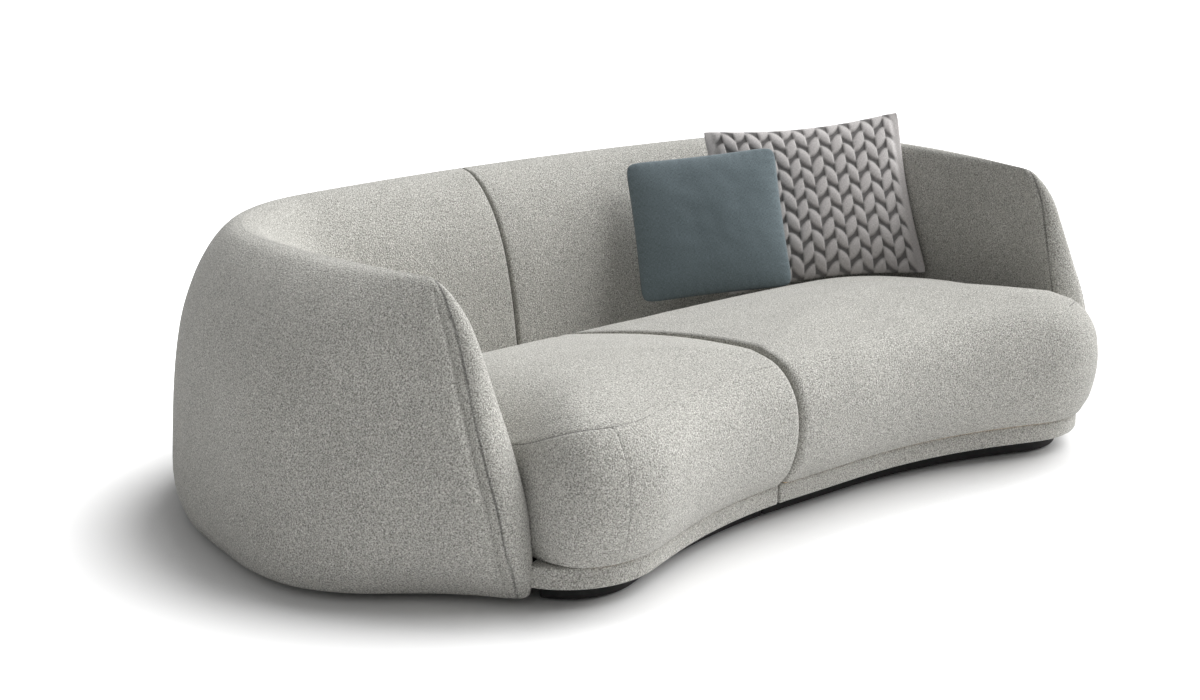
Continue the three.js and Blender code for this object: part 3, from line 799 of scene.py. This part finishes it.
# The looped cloth of the sofa. Limits in metres belong to its seams.
boucle = {
    "noiseScale": 290,
    "noiseDetail": 3.5,
    "noiseRoughness": 0.64,
    "loopScale": 250,
    "colours": [
        (0.36, (0.22, 0.214, 0.19)),
        (0.47, (0.45, 0.441, 0.405)),
        (0.55, (0.6, 0.59, 0.548)),
        (0.66, (0.82, 0.808, 0.76)),
    ],
    "loopTone": (0, 0.7, 1.06, 0.8),
    "broadTone": (0.3, 0.7, 0.96, 1.04),
    # Darker colour near a seam: painted shade in the seam's groove.
    "seamShadeTone": (0.0006, 0.0026, 0.42, 1),
    "fold": (0, 0.008, 0, 1.2),
    "bump": (0.75, 0.0022),
    "shader": {"Roughness": 0.95, "Specular IOR Level": 0.15, "Sheen Weight": 0.25, "Sheen Roughness": 0.6},
}


def boucleMaterial():
    material, tree, shader, coordinates = startMaterial("boucle")
    at = [("Vector", coordinates)]
    strands = newNode(tree, "ShaderNodeTexNoise", at, Scale=boucle["noiseScale"], Detail=boucle["noiseDetail"])
    strands.inputs["Roughness"].default_value = boucle["noiseRoughness"]
    loops = newNode(tree, "ShaderNodeTexVoronoi", at, Scale=boucle["loopScale"]).outputs["Distance"]
    broad = newNode(tree, "ShaderNodeTexNoise", at, Scale=9, Detail=3).outputs["Fac"]
    loopTone = mapped(tree, loops, *boucle["loopTone"])
    broadTone = mapped(tree, broad, *boucle["broadTone"])
    seam = attribute(tree, "seam")
    # The cloth is darkened along the seams: painted shade in their grooves.
    seamShade = mapped(tree, seam, *boucle["seamShadeTone"], kind="SMOOTHSTEP")
    tone = combined(tree, "MULTIPLY", combined(tree, "MULTIPLY", loopTone, broadTone), seamShade)
    colour = ramp(tree, strands.outputs["Fac"], boucle["colours"])
    tree.links.new(toned(tree, colour, tone), shader.inputs["Base Color"])
    fold = mapped(tree, seam, *boucle["fold"], kind="SMOOTHSTEP")
    hollow = combined(tree, "SUBTRACT", loops, strands.outputs["Fac"])
    bumped(tree, shader, combined(tree, "SUBTRACT", fold, hollow), *boucle["bump"])
    for socket, value in boucle["shader"].items():
        shader.inputs[socket].default_value = value
    return material


# Cushion cloths: thread colours, and the mark that darkens them with its limits and tones: painted shade at the blue
# cushion's edge and in the grey cushion's quilted creases.
cloths = {
    "blue_weave": {
        "colours": ((0.115, 0.15, 0.165), (0.21, 0.262, 0.285)),
        "shadeMark": "rim",
        "tone": (0, 0.004, 0.7, 1),
    },
    "grey_weave": {
        "colours": ((0.49, 0.468, 0.46), (0.72, 0.69, 0.68)),
        # Painted shade in the quilting's creases, from the puff mark.
        "shadeMark": "puff",
        "tone": (0, 0.75, 0.3, 1),
    },
}
clothShader = {"Roughness": 0.9, "Specular IOR Level": 0.2, "Sheen Weight": 0.2}


def wovenMaterial(name, group):
    spec = cloths[name]
    material, tree, shader, _ = startMaterial(name)
    links = [("Across", attribute(tree, "across")), ("Upward", attribute(tree, "upward"))]
    # The mark's mapped value scales the cloth's colour down: painted shade.
    links.append(("Tone", mapped(tree, attribute(tree, spec["shadeMark"]), *spec["tone"])))
    cloth = placed(tree, group, links, spec["colours"])
    tree.links.new(cloth.outputs["Color"], shader.inputs["Base Color"])
    bumped(tree, shader, cloth.outputs["Height"], *weave["bump"])
    for socket, value in clothShader.items():
        shader.inputs[socket].default_value = value
    return material


# Plain stuffs: low and high colour, grain scale and stretch, roughness, metallic, bump strength.
plains = {
    "foam": ((0.78, 0.74, 0.6), (0.86, 0.82, 0.68), 400, (1, 1, 1), 0.95, 0, 0.4),
    "plywood": ((0.42, 0.29, 0.17), (0.62, 0.46, 0.29), 30, (1, 9, 9), 0.7, 0, 0.15),
    "black_board": ((0.008, 0.008, 0.008), (0.016, 0.016, 0.016), 60, (1, 1, 1), 0.8, 0, 0.1),
    "dust_cloth": ((0.008, 0.008, 0.009), (0.02, 0.02, 0.02), 500, (1, 1, 1), 0.95, 0, 0.3),
    "black_plastic": ((0.012, 0.012, 0.012), (0.02, 0.02, 0.02), 300, (1, 1, 1), 0.5, 0, 0.1),
    "steel": ((0.38, 0.39, 0.4), (0.52, 0.53, 0.54), 80, (1, 14, 1), 0.38, 1, 0.05),
}


def plainMaterial(name, group):
    low, high, scale, stretch, roughness, metallic, strength = plains[name]
    material, tree, shader, coordinates = startMaterial(name)
    surfaceGrain = placed(tree, group, [("Vector", stretched(tree, coordinates, stretch))], (low, high))
    surfaceGrain.inputs["Scale"].default_value = scale
    tree.links.new(surfaceGrain.outputs["Color"], shader.inputs["Base Color"])
    bumped(tree, shader, surfaceGrain.outputs["Height"], strength, grain["bumpDistance"])
    shader.inputs["Roughness"].default_value = roughness
    shader.inputs["Metallic"].default_value = metallic
    return material


clothGroup = weaveGroup()
stuffGroup = grainGroup()
slotMaterials = {
    "upholstery": boucleMaterial(),
    "blue_cloth": wovenMaterial("blue_weave", clothGroup),
    "grey_cloth": wovenMaterial("grey_weave", clothGroup),
}
for plainName in plains:
    slotMaterials[plainName] = plainMaterial(plainName, stuffGroup)
for piece in backs + seats + bands:
    piece.data.materials.append(slotMaterials["upholstery"])
# The plinths' black also paints the shade under the sofa's front.
for piece in shadePlinths + sills:
    piece.data.materials.append(slotMaterials["black_board"])
bluePiece.data.materials.append(slotMaterials["blue_cloth"])
greyPiece.data.materials.append(slotMaterials["grey_cloth"])
slots = {row["node"]: row["material_slot"] for row in frame["record"]["subparts"]}
for nodeName, node in frame["nodes"].items():
    node.data.materials.clear()
    node.data.materials.append(slotMaterials[slots[nodeName]])
print("stage: materials")

# The floor gives camera rays some light of its own, less where it is near the sofa.
studio = {
    "floorSize": 60,
    "floorTone": 0.9,
    "nearDistance": 0.42,
    "glow": (0.62, 0.97, 0, 0.5),
    "worldStrength": 0.29,
    "sunFrom": (0.72, -0.1, 0.68),
    "sunStrength": 4.65,
    "sunAngle": 66,
    "lens": 55.08,
    "sensor": 36,
    "clipEnd": 200,
    "cameraPlace": (-3.3246, -3.6469, 1.6566),
    "cameraDown": 15.612,
    "cameraTurn": -40.383,
}


def makeFloor():
    bm = bmesh.new()
    bmesh.ops.create_grid(bm, x_segments=1, y_segments=1, size=studio["floorSize"])
    mesh = bpy.data.meshes.new("floor")
    bm.to_mesh(mesh)
    bm.free()
    floor = bpy.data.objects.new("floor", mesh)
    bpy.context.scene.collection.objects.link(floor)
    material = bpy.data.materials.new("floor")
    material.use_nodes = True
    tree = material.node_tree
    shader = tree.nodes["Principled BSDF"]
    shader.inputs["Base Color"].default_value = (studio["floorTone"], studio["floorTone"], studio["floorTone"], 1)
    shader.inputs["Roughness"].default_value = 0.9
    shader.inputs["Specular IOR Level"].default_value = 0.1
    shader.inputs["Emission Color"].default_value = (1, 1, 1, 1)
    nearness = newNode(tree, "ShaderNodeAmbientOcclusion", Distance=studio["nearDistance"])
    glow = mapped(tree, nearness.outputs["AO"], *studio["glow"])
    path = tree.nodes.new("ShaderNodeLightPath")
    lift = combined(tree, "MULTIPLY", path.outputs["Is Camera Ray"], glow)
    tree.links.new(lift, shader.inputs["Emission Strength"])
    mesh.materials.append(material)


def makeLight():
    world = bpy.data.worlds.new("studio")
    bpy.context.scene.world = world
    world.use_nodes = True
    background = world.node_tree.nodes["Background"]
    background.inputs["Color"].default_value = (1, 1, 1, 1)
    background.inputs["Strength"].default_value = studio["worldStrength"]
    data = bpy.data.lights.new("key", "SUN")
    data.energy = studio["sunStrength"]
    data.angle = math.radians(studio["sunAngle"])
    sun = bpy.data.objects.new("key", data)
    sun.rotation_euler = Vector(studio["sunFrom"]).to_track_quat("Z", "Y").to_euler()
    bpy.context.scene.collection.objects.link(sun)


def makeCamera():
    data = bpy.data.cameras.new("camera")
    data.lens = studio["lens"]
    data.sensor_width = studio["sensor"]
    data.clip_end = studio["clipEnd"]
    camera = bpy.data.objects.new("camera", data)
    camera.location = studio["cameraPlace"]
    camera.rotation_euler = (math.radians(90 - studio["cameraDown"]), 0, math.radians(studio["cameraTurn"]))
    bpy.context.scene.collection.objects.link(camera)
    bpy.context.scene.camera = camera


makeFloor()
makeLight()
makeCamera()
bpy.context.scene.view_settings.view_transform = "Standard"
print("stage: studio")
